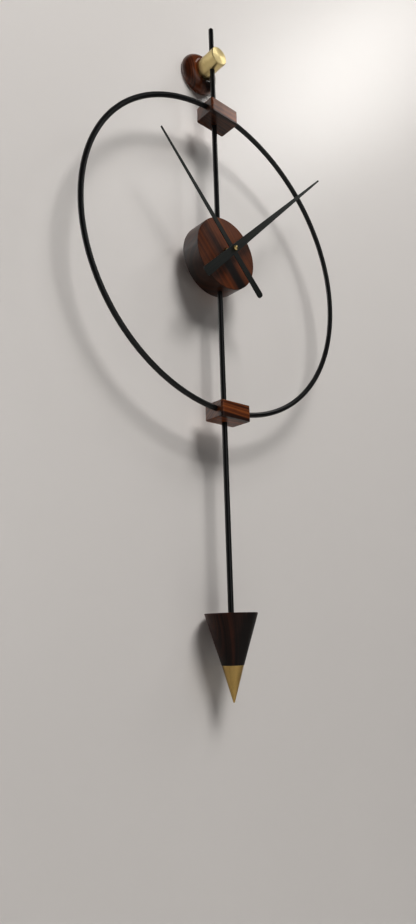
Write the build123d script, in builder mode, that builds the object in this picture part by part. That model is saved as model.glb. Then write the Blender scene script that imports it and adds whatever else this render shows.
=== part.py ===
"""Pendulum wall clock: ring frame on a long rod, wooden hub with a quartz movement, cone bob.

Millimetres. +X right, +Y into the wall, +Z up. The wall is the plane Y = 0 and the origin is
the centre of the rosette's back face.
"""
from build123d import *
from math import asin, cos, degrees, pi, radians, sin
import os

os.makedirs("parts", exist_ok=True)

# Frame
RING_R = 200.0            # centreline radius of the ring
RING_ROD_D = 6.4
PEG_TO_RING = 84.7        # peg axis down to the top of the ring's centreline
RING_Z = -(PEG_TO_RING + RING_R)
ROD_D = 6.4
ROD_RISE = 52.2           # rod above the peg axis
TAIL = 224.4              # ring bottom down to the cone's top face
FIT = 0.05                # radial clearance of a close fit

# Hub
HUB_D = 91.2
HUB_DEPTH = 27.3
HUB_FRONT = -45.7
HUB_BACK = HUB_FRONT + HUB_DEPTH
HUB_FACE_WALL = 7.0
SOCKET_WALL = 3.1         # wood between a rod's end and the movement's pocket
ROD_Y = HUB_FRONT + 0.52 * HUB_DEPTH
HUB_R = HUB_D / 2

# Depths of the ring and blocks
RING_AHEAD = 9.7          # ring plane in front of the rod axis
RING_Y = ROD_Y - RING_AHEAD
BLOCK_W = 44.0
BLOCK_DEPTH = 30.0
BLOCK_H = 19.2
BLOCK_FRONT = RING_Y - 11.3
BLOCK_BACK = BLOCK_FRONT + BLOCK_DEPTH
TOP_BLOCK_R = RING_R - 3.0       # block centres, measured from the ring's centre
BOTTOM_BLOCK_R = RING_R + 0.3
RING_END_GAP = RING_ROD_D / 2 + 0.5

# Wall fixing
PEG_D = 25.0
PEG_FRONT = -46.0
PEG_BACK = -15.0
ROSETTE_D = 55.0
ROSETTE_T = 16.2
STUD_D = 6.0
STUD_WALL_D = 5.5         # wood-thread end
PEG_WALL = 2.4            # brass left between stud hole and rod hole
STUD_IN_PEG = PEG_BACK - ROD_Y - ROD_D / 2 - FIT - PEG_WALL
STUD_IN_WALL = 34.0
SCREW_D = 4.0

# Cone bob
CONE_D = 58.6
CONE_TIP_LENGTH = 38.0    # brass point
CONE_LENGTH = 92.3        # wood and brass together
CONE_TOP = RING_Z - RING_R - TAIL
CONE_JOIN = CONE_TOP - CONE_LENGTH + CONE_TIP_LENGTH
CONE_END = CONE_TOP - CONE_LENGTH
CONE_JOIN_R = CONE_D / 2 * CONE_TIP_LENGTH / CONE_LENGTH
ROD_IN_CONE = 22.0

# Hands
HAND_T = 0.8
HOUR_TIP = 158.0
HOUR_TAIL = 66.0
HOUR_TIP_W = 2.4
HOUR_TAIL_W = 10.4
HOUR_ANGLE = -42.4        # clockwise from 12, seen from the front
HOUR_BACK = HUB_FRONT - 11.2
MINUTE_TIP = 238.6
MINUTE_TAIL = 67.0
MINUTE_TIP_W = 2.2
MINUTE_TAIL_W = 12.4
MINUTE_ANGLE = 45.4
MINUTE_BACK = HOUR_BACK - HAND_T - 2.2
CAP_NUT_D = 6.4
CAP_NUT_H = 3.3

# Quartz movement
CASE = 56.0               # square side
CASE_DEPTH = 16.0
CASE_WALL = 1.4
COVER_T = 1.6
WASHER_T = 0.8
CASE_FRONT = HUB_FRONT + HUB_FACE_WALL + WASHER_T
CASE_BACK = CASE_FRONT + CASE_DEPTH
CHAMBER = CASE_FRONT + CASE_WALL      # inner face of the case's front plate
COVER_FRONT = CASE_BACK - COVER_T
INNER = CASE / 2 - CASE_WALL
POCKET = CASE + 1.0
DIVIDER_T = 1.0           # between gear chamber and battery bay
BUSHING_D = 7.9
HOUR_TUBE_D = 5.2
MINUTE_ARBOR_D = 3.2
THREAD_TIP_D = 2.5
ARBOR_D = 1.0
PIVOT_D = 0.6
BATTERY_D = 14.2
BATTERY_BODY = 49.2
DIVIDER_TOP = -INNER + BATTERY_D + 0.5 + DIVIDER_T

# Gear train: teeth and modules
CANNON_T = 12
MOTION_WHEEL_T = 36
MOTION_PINION_T = 10
HOUR_WHEEL_T = 40
KNOB_T = 12
CENTRE_T = 60
THIRD_PINION_T = 8
THIRD_WHEEL_T = 64
SECONDS_PINION_T = 8
SECONDS_WHEEL_T = 60
FIFTH_PINION_T = 10
FIFTH_WHEEL_T = 50
ROTOR_PINION_T = 10
MOTION_DISTANCE = 12.0
KNOB_DISTANCE = MOTION_DISTANCE * (MOTION_WHEEL_T + KNOB_T) / (MOTION_WHEEL_T + CANNON_T)
THIRD_DISTANCE = 9.0
FIFTH_DISTANCE = 8.75
ROTOR_DISTANCE = 6.0
MOTION_ANGLE = 50.0       # direction of each arbor from the one it meshes with
KNOB_ANGLE = -20.0
THIRD_ANGLE = 160.0
FIFTH_ANGLE = 60.0
ROTOR_ANGLE = 80.0


def facing(y, x=0.0, z=RING_Z):
    """Plane looking out from the wall: local x is +X, local y is +Z, normal is -Y."""
    return Plane(origin=(x, y, z), x_dir=(1, 0, 0), z_dir=(0, -1, 0))


def across(x, y, z):
    """Plane looking along +X: local x is +Y, local y is +Z."""
    return Plane(origin=(x, y, z), x_dir=(0, 1, 0), z_dir=(1, 0, 0))


def polar(distance, angle, start=(0.0, 0.0)):
    """Point at a distance and angle from a start point, in the facing plane."""
    return (start[0] + distance * cos(radians(angle)), start[1] + distance * sin(radians(angle)))


def module_of(distance, wheel_teeth, pinion_teeth):
    return 2 * distance / (wheel_teeth + pinion_teeth)


def gear_points(teeth, module, phase, share=0.40):
    """Outline of a spur gear with straight-flanked teeth, one tooth centred on the phase angle."""
    pitch_r = teeth * module / 2
    pitch = 360 / teeth
    half_root = pitch * (share / 2 + 0.03)
    half_tip = pitch * share / 4
    root_r = pitch_r - 1.15 * module
    tip_r = pitch_r + 0.80 * module
    points = []
    for i in range(teeth):
        a = phase + i * pitch
        points.append(polar(root_r, a - half_root))
        points.append(polar(pitch_r, a - pitch * share / 2))
        points.append(polar(tip_r, a - half_tip))
        points.append(polar(tip_r, a + half_tip))
        points.append(polar(pitch_r, a + pitch * share / 2))
        points.append(polar(root_r, a + half_root))
    return points


def gap_at(angle, teeth):
    """Phase that puts a gap where the gear meets its neighbour, back along the given direction."""
    return angle + 180 + 180 / teeth


def behind(c):
    """Depth in the gear chamber, measured back from the case's front plate."""
    return CHAMBER + c


# ---------------------------------------------------------------- wall fixing
with BuildPart() as wall_rosette:
    with BuildSketch(Plane(origin=(0, 0, 0), x_dir=(1, 0, 0), z_dir=(0, 0, 1))):
        with BuildLine():
            Line((STUD_D / 2 + 0.1, 0), (ROSETTE_D / 2 - 1.2, 0))
            Spline(
                (ROSETTE_D / 2 - 1.2, 0),
                (ROSETTE_D / 2, -4.6),
                (ROSETTE_D / 2 - 2.2, -10.4),
                (ROSETTE_D / 2 - 6.6, -14.6),
                (PEG_D / 2 + 3.6, -ROSETTE_T),
                (PEG_D / 2 + 0.1, PEG_BACK - 0.3),
            )
            Line((PEG_D / 2 + 0.1, PEG_BACK - 0.3), (PEG_D / 2 + 0.1, PEG_BACK))
            Line((PEG_D / 2 + 0.1, PEG_BACK), (STUD_D / 2 + 0.1, PEG_BACK))
            Line((STUD_D / 2 + 0.1, PEG_BACK), (STUD_D / 2 + 0.1, 0))
        make_face()
    revolve(axis=Axis.Y)
wall_rosette.part.label = "wall_rosette"
export_step(wall_rosette.part, "parts/wall_rosette.step")

with BuildPart() as brass_peg:
    with BuildSketch(facing(PEG_BACK, z=0)):
        Circle(PEG_D / 2)
    extrude(amount=PEG_BACK - PEG_FRONT)
    chamfer(brass_peg.edges().filter_by(GeomType.CIRCLE).sort_by(Axis.Y)[0], 0.8)
    with BuildSketch(Plane(origin=(0, ROD_Y, -PEG_D), x_dir=(1, 0, 0), z_dir=(0, 0, 1))):
        Circle(ROD_D / 2 + FIT)
    extrude(amount=2 * PEG_D, mode=Mode.SUBTRACT)
    with BuildSketch(facing(PEG_BACK, z=0)):
        Circle(STUD_D / 2 + FIT)
    extrude(amount=STUD_IN_PEG, mode=Mode.SUBTRACT)
    with BuildSketch(across(0, ROD_Y, 0)):
        Circle(SCREW_D / 2 + FIT)
    extrude(amount=PEG_D, mode=Mode.SUBTRACT)
brass_peg.part.label = "brass_peg"
export_step(brass_peg.part, "parts/brass_peg.step")

with BuildPart() as peg_set_screw:
    with BuildSketch(across(ROD_D / 2 + 0.02, ROD_Y, 0)):
        Circle(SCREW_D / 2)
    extrude(amount=PEG_D / 2 - ROD_D / 2 - 1.0)
    chamfer(peg_set_screw.edges().filter_by(GeomType.CIRCLE), 0.4)
    with BuildSketch(Plane(origin=(PEG_D / 2 - 0.98, ROD_Y, 0), x_dir=(0, 1, 0), z_dir=(-1, 0, 0))):
        RegularPolygon(1.0, 6, major_radius=False)
    extrude(amount=2.2, mode=Mode.SUBTRACT)
peg_set_screw.part.label = "peg_set_screw"
export_step(peg_set_screw.part, "parts/peg_set_screw.step")

with BuildPart() as wall_stud:
    with BuildSketch(facing(0, z=0)):
        Circle(STUD_D / 2)
    extrude(amount=STUD_IN_PEG - PEG_BACK - 0.4)
    with BuildSketch(facing(0, z=0)):
        Circle(STUD_WALL_D / 2)
    extrude(amount=-(STUD_IN_WALL - 5.0))
    with BuildSketch(facing(STUD_IN_WALL - 5.0, z=0)):
        Circle(STUD_WALL_D / 2)
    with BuildSketch(facing(STUD_IN_WALL, z=0)):
        Circle(0.5)
    loft()
wall_stud.part.label = "wall_stud"
export_step(wall_stud.part, "parts/wall_stud.step")

# ---------------------------------------------------------------- rods
HUB_SOCKET_END = POCKET / 2 + SOCKET_WALL
UPPER_ROD_BOTTOM = RING_Z + HUB_SOCKET_END + 0.4
LOWER_ROD_TOP = RING_Z - HUB_SOCKET_END - 0.4

with BuildPart() as upper_rod:
    with BuildSketch(Plane(origin=(0, ROD_Y, UPPER_ROD_BOTTOM), x_dir=(1, 0, 0), z_dir=(0, 0, 1))):
        Circle(ROD_D / 2)
    extrude(amount=ROD_RISE - UPPER_ROD_BOTTOM)
    fillet(upper_rod.edges().sort_by(Axis.Z)[-1], 1.2)
upper_rod.part.label = "upper_rod"
export_step(upper_rod.part, "parts/upper_rod.step")

with BuildPart() as lower_rod:
    with BuildSketch(Plane(origin=(0, ROD_Y, CONE_TOP - ROD_IN_CONE), x_dir=(1, 0, 0), z_dir=(0, 0, 1))):
        Circle(ROD_D / 2)
    extrude(amount=LOWER_ROD_TOP - CONE_TOP + ROD_IN_CONE)
    chamfer(lower_rod.edges().filter_by(GeomType.CIRCLE), 0.4)
lower_rod.part.label = "lower_rod"
export_step(lower_rod.part, "parts/lower_rod.step")


# ---------------------------------------------------------------- ring halves and blocks
def ring_plane(clock_angle):
    """Plane across the ring's rod at a clock angle; local x points out along the radius."""
    a = radians(clock_angle)
    return Plane(origin=(0, RING_Y, RING_Z), x_dir=(sin(a), 0, cos(a)), z_dir=(cos(a), 0, -sin(a)))


RING_AXIS = Axis((0, RING_Y, RING_Z), (0, 1, 0))
END_ANGLE = degrees(asin(RING_END_GAP / RING_R))
SIDE_ANGLE = degrees(asin(BLOCK_W / 2 / RING_R))

with BuildPart() as ring_half_right:
    with BuildSketch(ring_plane(END_ANGLE)):
        with Locations((RING_R, 0)):
            Circle(RING_ROD_D / 2)
    revolve(axis=RING_AXIS, revolution_arc=180 - 2 * END_ANGLE)
ring_half_right.part.label = "ring_half_right"
export_step(ring_half_right.part, "parts/ring_half_right.step")

with BuildPart() as ring_half_left:
    with BuildSketch(ring_plane(180 + END_ANGLE)):
        with Locations((RING_R, 0)):
            Circle(RING_ROD_D / 2)
    revolve(axis=RING_AXIS, revolution_arc=180 - 2 * END_ANGLE)
ring_half_left.part.label = "ring_half_left"
export_step(ring_half_left.part, "parts/ring_half_left.step")

BLOCK_HOLE_START = END_ANGLE - degrees(0.2 / RING_R)
BLOCK_HOLE_ARC = SIDE_ANGLE + 3.0 - BLOCK_HOLE_START
TOP_BLOCK_Z = RING_Z + TOP_BLOCK_R
BOTTOM_BLOCK_Z = RING_Z - BOTTOM_BLOCK_R

with BuildPart() as top_block:
    with BuildSketch(Plane(origin=(0, BLOCK_FRONT + BLOCK_DEPTH / 2, TOP_BLOCK_Z - BLOCK_H / 2))):
        RectangleRounded(BLOCK_W, BLOCK_DEPTH, 2.5)
    extrude(amount=BLOCK_H)
    fillet(top_block.edges().group_by(Axis.Z)[0] + top_block.edges().group_by(Axis.Z)[-1], 0.8)
    with BuildSketch(Plane(origin=(0, ROD_Y, TOP_BLOCK_Z - BLOCK_H))):
        Circle(ROD_D / 2 + FIT)
    extrude(amount=2 * BLOCK_H, mode=Mode.SUBTRACT)
    for start in (BLOCK_HOLE_START, -BLOCK_HOLE_START - BLOCK_HOLE_ARC):
        with BuildSketch(ring_plane(start)):
            with Locations((RING_R, 0)):
                Circle(RING_ROD_D / 2 + FIT)
        revolve(axis=RING_AXIS, revolution_arc=BLOCK_HOLE_ARC, mode=Mode.SUBTRACT)
    with BuildSketch(facing(BLOCK_BACK, z=TOP_BLOCK_Z)):
        Circle(SCREW_D / 2 + FIT)
    extrude(amount=BLOCK_BACK - ROD_Y, mode=Mode.SUBTRACT)
top_block.part.label = "top_block"
export_step(top_block.part, "parts/top_block.step")

with BuildPart() as bottom_block:
    with BuildSketch(Plane(origin=(0, BLOCK_FRONT + BLOCK_DEPTH / 2, BOTTOM_BLOCK_Z - BLOCK_H / 2))):
        RectangleRounded(BLOCK_W, BLOCK_DEPTH, 2.5)
    extrude(amount=BLOCK_H)
    fillet(bottom_block.edges().group_by(Axis.Z)[0] + bottom_block.edges().group_by(Axis.Z)[-1], 0.8)
    with BuildSketch(Plane(origin=(0, ROD_Y, BOTTOM_BLOCK_Z - BLOCK_H))):
        Circle(ROD_D / 2 + FIT)
    extrude(amount=2 * BLOCK_H, mode=Mode.SUBTRACT)
    for start in (180 + BLOCK_HOLE_START, 180 - BLOCK_HOLE_START - BLOCK_HOLE_ARC):
        with BuildSketch(ring_plane(start)):
            with Locations((RING_R, 0)):
                Circle(RING_ROD_D / 2 + FIT)
        revolve(axis=RING_AXIS, revolution_arc=BLOCK_HOLE_ARC, mode=Mode.SUBTRACT)
    with BuildSketch(facing(BLOCK_BACK, z=BOTTOM_BLOCK_Z)):
        Circle(SCREW_D / 2 + FIT)
    extrude(amount=BLOCK_BACK - ROD_Y, mode=Mode.SUBTRACT)
bottom_block.part.label = "bottom_block"
export_step(bottom_block.part, "parts/bottom_block.step")

BLOCK_SCREW_TIP = ROD_Y + ROD_D / 2 + 0.02
BLOCK_SCREW_HEAD = BLOCK_BACK - 0.5
with BuildPart() as block_set_screws:
    for z in (TOP_BLOCK_Z, BOTTOM_BLOCK_Z):
        with BuildSketch(facing(BLOCK_SCREW_HEAD, z=z)):
            Circle(SCREW_D / 2)
        extrude(amount=BLOCK_SCREW_HEAD - BLOCK_SCREW_TIP)
    chamfer(block_set_screws.edges().filter_by(GeomType.CIRCLE), 0.4)
    for z in (TOP_BLOCK_Z, BOTTOM_BLOCK_Z):
        with BuildSketch(facing(BLOCK_SCREW_HEAD, z=z)):
            RegularPolygon(1.0, 6, major_radius=False)
        extrude(amount=2.0, mode=Mode.SUBTRACT)
block_set_screws.part.label = "block_set_screws"
export_step(block_set_screws.part, "parts/block_set_screws.step")

# ---------------------------------------------------------------- hub
HUB_SCREW_Z = (HUB_SOCKET_END + HUB_R) / 2
with BuildPart() as hub_body:
    with BuildSketch(facing(HUB_BACK)):
        Circle(HUB_R)
    extrude(amount=HUB_DEPTH)
    fillet(hub_body.edges().filter_by(GeomType.CIRCLE), 0.7)
    with BuildSketch(facing(HUB_BACK)):
        RectangleRounded(POCKET, POCKET, 4.5)
    extrude(amount=HUB_DEPTH - HUB_FACE_WALL, mode=Mode.SUBTRACT)
    with BuildSketch(facing(HUB_BACK)):
        Circle(BUSHING_D / 2 + 0.3)
    extrude(amount=HUB_DEPTH, mode=Mode.SUBTRACT)
    for side in (1, -1):
        socket_z = RING_Z + side * HUB_SOCKET_END
        with BuildSketch(Plane(origin=(0, ROD_Y, socket_z), x_dir=(1, 0, 0), z_dir=(0, 0, side))):
            Circle(ROD_D / 2 + FIT)
        extrude(amount=HUB_R, mode=Mode.SUBTRACT)
        with BuildSketch(facing(HUB_BACK, z=RING_Z + side * HUB_SCREW_Z)):
            Circle(SCREW_D / 2 + FIT)
        extrude(amount=HUB_BACK - ROD_Y, mode=Mode.SUBTRACT)
hub_body.part.label = "hub_body"
export_step(hub_body.part, "parts/hub_body.step")

HUB_SCREW_HEAD = HUB_BACK - 0.5
with BuildPart() as hub_set_screws:
    for side in (1, -1):
        with BuildSketch(facing(HUB_SCREW_HEAD, z=RING_Z + side * HUB_SCREW_Z)):
            Circle(SCREW_D / 2)
        extrude(amount=HUB_SCREW_HEAD - BLOCK_SCREW_TIP)
    chamfer(hub_set_screws.edges().filter_by(GeomType.CIRCLE), 0.4)
    for side in (1, -1):
        with BuildSketch(facing(HUB_SCREW_HEAD, z=RING_Z + side * HUB_SCREW_Z)):
            RegularPolygon(1.0, 6, major_radius=False)
        extrude(amount=2.2, mode=Mode.SUBTRACT)
hub_set_screws.part.label = "hub_set_screws"
export_step(hub_set_screws.part, "parts/hub_set_screws.step")

# ---------------------------------------------------------------- cone bob
SPIGOT_R = CONE_JOIN_R * 0.4
SPIGOT_L = 9.0
with BuildPart() as cone_body:
    with BuildSketch(Plane(origin=(0, ROD_Y, 0), x_dir=(1, 0, 0), z_dir=(0, -1, 0))):
        with BuildLine():
            Polyline(
                (0, CONE_JOIN),
                (CONE_JOIN_R, CONE_JOIN),
                (CONE_D / 2, CONE_TOP),
                (0, CONE_TOP),
                close=True,
            )
        make_face()
    revolve(axis=Axis((0, ROD_Y, 0), (0, 0, 1)))
    fillet(cone_body.edges().group_by(Axis.Z)[-1], 0.8)
    with BuildSketch(Plane(origin=(0, ROD_Y, CONE_TOP))):
        Circle(ROD_D / 2 + FIT)
    extrude(amount=-(ROD_IN_CONE + 0.5), mode=Mode.SUBTRACT)
    with BuildSketch(Plane(origin=(0, ROD_Y, CONE_JOIN))):
        Circle(SPIGOT_R + FIT)
    extrude(amount=SPIGOT_L + 0.5, mode=Mode.SUBTRACT)
cone_body.part.label = "cone_body"
export_step(cone_body.part, "parts/cone_body.step")

with BuildPart() as cone_tip:
    with BuildSketch(Plane(origin=(0, ROD_Y, 0), x_dir=(1, 0, 0), z_dir=(0, -1, 0))):
        with BuildLine():
            Polyline(
                (0, CONE_JOIN + SPIGOT_L),
                (SPIGOT_R, CONE_JOIN + SPIGOT_L),
                (SPIGOT_R, CONE_JOIN),
                (CONE_JOIN_R - 0.1, CONE_JOIN),
                (1.15, CONE_END + 1.3),
                (0.8, CONE_END + 0.4),
                (0.35, CONE_END),
                (0, CONE_END),
                close=True,
            )
        make_face()
    revolve(axis=Axis((0, ROD_Y, 0), (0, 0, 1)))
cone_tip.part.label = "cone_tip"
export_step(cone_tip.part, "parts/cone_tip.step")

# ---------------------------------------------------------------- movement: case
KNOB_AT = polar(KNOB_DISTANCE, KNOB_ANGLE, polar(MOTION_DISTANCE, MOTION_ANGLE))
MOTION_AT = polar(MOTION_DISTANCE, MOTION_ANGLE)
THIRD_AT = polar(THIRD_DISTANCE, THIRD_ANGLE)
FIFTH_AT = polar(FIFTH_DISTANCE, FIFTH_ANGLE)
ROTOR_AT = polar(ROTOR_DISTANCE, ROTOR_ANGLE, FIFTH_AT)
FLANGE_R = 6.0
FLANGE_T = 0.8
BAY_BOTTOM = -INNER
BAY_TOP = DIVIDER_TOP - DIVIDER_T
LID_BOTTOM = BAY_TOP
PLATE_FRONT = 3.3         # middle plate, from the front of the chamber
PLATE_T = 1.0
STOP_C = PLATE_FRONT

with BuildPart() as movement_case:
    with BuildSketch(facing(CASE_BACK)):
        RectangleRounded(CASE, CASE, 4.0)
    extrude(amount=CASE_DEPTH)
    with BuildSketch(facing(CASE_BACK)):
        with Locations((0, (CASE / 2 + LID_BOTTOM) / 2 + 2.5)):
            Rectangle(CASE + 2, CASE / 2 - LID_BOTTOM + 5)
    extrude(amount=COVER_T, mode=Mode.SUBTRACT)
    with BuildSketch(facing(CASE_BACK)):
        with Locations((0, (INNER + DIVIDER_TOP) / 2)):
            RectangleRounded(2 * INNER, INNER - DIVIDER_TOP, 2.6)
        with Locations((0, DIVIDER_TOP + 3.0)):
            Rectangle(2 * INNER, 6.0)
    extrude(amount=CASE_DEPTH - CASE_WALL, mode=Mode.SUBTRACT)
    with BuildSketch(facing(CASE_BACK)):
        with Locations((0, (BAY_BOTTOM + BAY_TOP) / 2)):
            RectangleRounded(2 * INNER, BAY_TOP - BAY_BOTTOM, 1.0)
        with Locations((0, BAY_TOP - 3.0)):
            Rectangle(2 * INNER, 6.0)
    extrude(amount=CASE_DEPTH - CASE_WALL, mode=Mode.SUBTRACT)
    # notches in the divider for the two contact strips
    NOTCH_Z = DIVIDER_TOP - DIVIDER_T / 2
    with BuildSketch(facing(COVER_FRONT)):
        with Locations((-INNER + 0.5, NOTCH_Z), (INNER - 0.5, NOTCH_Z)):
            Rectangle(1.0, DIVIDER_T + 0.6)
    extrude(amount=4.0, mode=Mode.SUBTRACT)
    with BuildSketch(facing(CHAMBER)):
        Circle(BUSHING_D / 2 + FIT)
    extrude(amount=CASE_WALL, mode=Mode.SUBTRACT)
    with BuildSketch(facing(CHAMBER)):
        Circle(FLANGE_R + FIT)
    extrude(amount=FLANGE_T, mode=Mode.SUBTRACT)
    # blind pivot holes and posts for the middle plate
    with BuildSketch(facing(CHAMBER)):
        with Locations(MOTION_AT, KNOB_AT):
            Circle(PIVOT_D / 2 + FIT)
    extrude(amount=0.9, mode=Mode.SUBTRACT)
    with BuildSketch(facing(behind(STOP_C))):
        with Locations((-INNER + 4.0, INNER - 4.0), (INNER - 4.0, INNER - 4.0)):
            Circle(1.8)
        with Locations((-INNER + 4.0, DIVIDER_TOP + 4.0), (INNER - 4.0, DIVIDER_TOP + 4.0)):
            Circle(1.8)
    extrude(amount=STOP_C)
movement_case.part.label = "movement_case"
export_step(movement_case.part, "parts/movement_case.step")

with BuildPart() as middle_plate:
    with BuildSketch(facing(behind(PLATE_FRONT + PLATE_T))):
        with Locations((0, (INNER + DIVIDER_TOP) / 2)):
            RectangleRounded(2 * INNER - 0.4, INNER - DIVIDER_TOP - 0.4, 2.5)
        Circle(MINUTE_ARBOR_D / 2 + FIT, mode=Mode.SUBTRACT)
        with Locations(MOTION_AT, THIRD_AT, FIFTH_AT, ROTOR_AT):
            Circle(PIVOT_D / 2 + FIT, mode=Mode.SUBTRACT)
        with Locations(KNOB_AT):
            Circle(1.5 + FIT, mode=Mode.SUBTRACT)
    extrude(amount=PLATE_T)
middle_plate.part.label = "middle_plate"
export_step(middle_plate.part, "parts/middle_plate.step")

BOSS_R = 1.1
with BuildPart() as movement_cover:
    with BuildSketch(facing(CASE_BACK)):
        RectangleRounded(CASE, CASE, 4.0)
        with Locations((0, (-CASE / 2 + LID_BOTTOM) / 2 - 2.5)):
            Rectangle(CASE + 2, LID_BOTTOM + CASE / 2 + 5, mode=Mode.SUBTRACT)
        with Locations(KNOB_AT):
            Circle(1.5 + FIT, mode=Mode.SUBTRACT)
    extrude(amount=COVER_T)
    with BuildSketch(facing(COVER_FRONT)):
        with Locations(THIRD_AT, FIFTH_AT, (0, 0)):
            Circle(BOSS_R)
    extrude(amount=2.2)
    with BuildSketch(facing(COVER_FRONT)):
        with Locations(ROTOR_AT):
            Circle(BOSS_R)
    extrude(amount=1.0)
    with BuildSketch(facing(COVER_FRONT - 2.2)):
        with Locations(THIRD_AT, FIFTH_AT, (0, 0)):
            Circle(PIVOT_D / 2 + FIT)
    extrude(amount=-2.2, mode=Mode.SUBTRACT)
    with BuildSketch(facing(COVER_FRONT - 1.0)):
        with Locations(ROTOR_AT):
            Circle(PIVOT_D / 2 + FIT)
    extrude(amount=-1.6, mode=Mode.SUBTRACT)
movement_cover.part.label = "movement_cover"
export_step(movement_cover.part, "parts/movement_cover.step")

BUSHING_FRONT = HUB_FRONT - 4.3
with BuildPart() as bushing:
    with BuildSketch(facing(CHAMBER)):
        Circle(BUSHING_D / 2)
    extrude(amount=CHAMBER - BUSHING_FRONT)
    chamfer(bushing.edges().filter_by(GeomType.CIRCLE).sort_by(Axis.Y)[0], 0.4)
    with BuildSketch(facing(CHAMBER)):
        Circle(FLANGE_R)
    extrude(amount=FLANGE_T)
    with BuildSketch(facing(CHAMBER)):
        Circle(HOUR_TUBE_D / 2 + FIT)
    extrude(amount=CHAMBER - BUSHING_FRONT, mode=Mode.SUBTRACT)
bushing.part.label = "bushing"
export_step(bushing.part, "parts/bushing.step")

with BuildPart() as rubber_washer:
    with BuildSketch(facing(CASE_FRONT)):
        Circle(9.0)
        Circle(BUSHING_D / 2 + 0.1, mode=Mode.SUBTRACT)
    extrude(amount=WASHER_T)
rubber_washer.part.label = "rubber_washer"
export_step(rubber_washer.part, "parts/rubber_washer.step")

NUT_T = 2.6
with BuildPart() as bushing_nut:
    with BuildSketch(facing(HUB_FRONT)):
        Circle(6.35)
    extrude(amount=NUT_T)
    chamfer(bushing_nut.edges().filter_by(GeomType.CIRCLE), 0.5)
    with BuildSketch(facing(HUB_FRONT)):
        RegularPolygon(5.5, 6, major_radius=False)
    extrude(amount=NUT_T, mode=Mode.INTERSECT)
    with BuildSketch(facing(HUB_FRONT)):
        Circle(BUSHING_D / 2 + FIT)
    extrude(amount=NUT_T, mode=Mode.SUBTRACT)
bushing_nut.part.label = "bushing_nut"
export_step(bushing_nut.part, "parts/bushing_nut.step")

# ---------------------------------------------------------------- movement: power and motor
BATTERY_Z = (BAY_BOTTOM + BAY_TOP) / 2
BATTERY_Y = CHAMBER + BATTERY_D / 2 + 0.15
CONTACT_T = 0.5
NUB = 1.1
BATTERY_PLUS = INNER - CONTACT_T - NUB
BATTERY_MINUS = BATTERY_PLUS - BATTERY_BODY
with BuildPart() as battery:
    with BuildSketch(across(BATTERY_MINUS, BATTERY_Y, RING_Z + BATTERY_Z)):
        Circle(BATTERY_D / 2)
    extrude(amount=BATTERY_BODY)
    fillet(battery.edges().filter_by(GeomType.CIRCLE), 0.6)
    with BuildSketch(across(BATTERY_PLUS, BATTERY_Y, RING_Z + BATTERY_Z)):
        Circle(2.75)
    extrude(amount=NUB)
battery.part.label = "battery"
export_step(battery.part, "parts/battery.step")

STRIP_BACK = COVER_FRONT - 0.3
STRIP_W = 3.0
BOARD_BACK = COVER_FRONT - 0.5
BOARD_T = 0.8
BOARD_LEFT = -INNER + CONTACT_T + 0.1
BOARD_RIGHT = -12.0
BOARD_BOTTOM = DIVIDER_TOP + 1.0
BOARD_TOP = 17.0
with BuildPart() as contact_positive:
    with BuildSketch(facing(BATTERY_Y + 4.0)):
        with Locations((INNER - CONTACT_T / 2, BATTERY_Z)):
            Rectangle(CONTACT_T, 9.0)
    extrude(amount=8.0)
    with BuildSketch(facing(STRIP_BACK)):
        with Locations((INNER - CONTACT_T / 2, (BATTERY_Z + DIVIDER_TOP + CONTACT_T) / 2)):
            Rectangle(CONTACT_T, DIVIDER_TOP + CONTACT_T - BATTERY_Z)
        with Locations(((INNER + BOARD_LEFT + 3.0) / 2, DIVIDER_TOP + CONTACT_T / 2)):
            Rectangle(INNER - BOARD_LEFT - 3.0, CONTACT_T)
    extrude(amount=STRIP_W)
contact_positive.part.label = "contact_positive"
export_step(contact_positive.part, "parts/contact_positive.step")

with BuildPart() as contact_negative:
    with BuildSketch(facing(BATTERY_Y + 4.0)):
        with BuildLine():
            Polyline(
                (-INNER, BATTERY_Z - 6.0),
                (-INNER + CONTACT_T, BATTERY_Z - 6.0),
                (BATTERY_MINUS - 0.02, BATTERY_Z - 1.5),
                (BATTERY_MINUS - 0.02, BATTERY_Z + 1.5),
                (-INNER + CONTACT_T, BATTERY_Z + 5.0),
                (-INNER, BATTERY_Z + 5.0),
                (-INNER, BATTERY_Z + 4.2),
                (BATTERY_MINUS - 0.45, BATTERY_Z + 1.1),
                (BATTERY_MINUS - 0.45, BATTERY_Z - 1.1),
                (-INNER, BATTERY_Z - 5.2),
                close=True,
            )
        make_face()
    extrude(amount=8.0)
    with BuildSketch(facing(STRIP_BACK)):
        with Locations((-INNER + CONTACT_T / 2, (BATTERY_Z + 4.2 + BOARD_BOTTOM + 3.0) / 2)):
            Rectangle(CONTACT_T, BOARD_BOTTOM + 3.0 - BATTERY_Z - 4.2)
    extrude(amount=STRIP_W)
    with BuildSketch(facing(STRIP_BACK)):
        with Locations((-INNER + CONTACT_T / 2, BATTERY_Z + 4.6)):
            Rectangle(CONTACT_T, 0.8)
    extrude(amount=STRIP_BACK - BATTERY_Y + 4.0)
contact_negative.part.label = "contact_negative"
export_step(contact_negative.part, "parts/contact_negative.step")

with BuildPart() as circuit_board:
    with BuildSketch(facing(BOARD_BACK)):
        with Locations(((BOARD_LEFT + BOARD_RIGHT) / 2, (BOARD_BOTTOM + BOARD_TOP) / 2)):
            Rectangle(BOARD_RIGHT - BOARD_LEFT, BOARD_TOP - BOARD_BOTTOM)
    extrude(amount=BOARD_T)
circuit_board.part.label = "circuit_board"
export_step(circuit_board.part, "parts/circuit_board.step")

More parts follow.
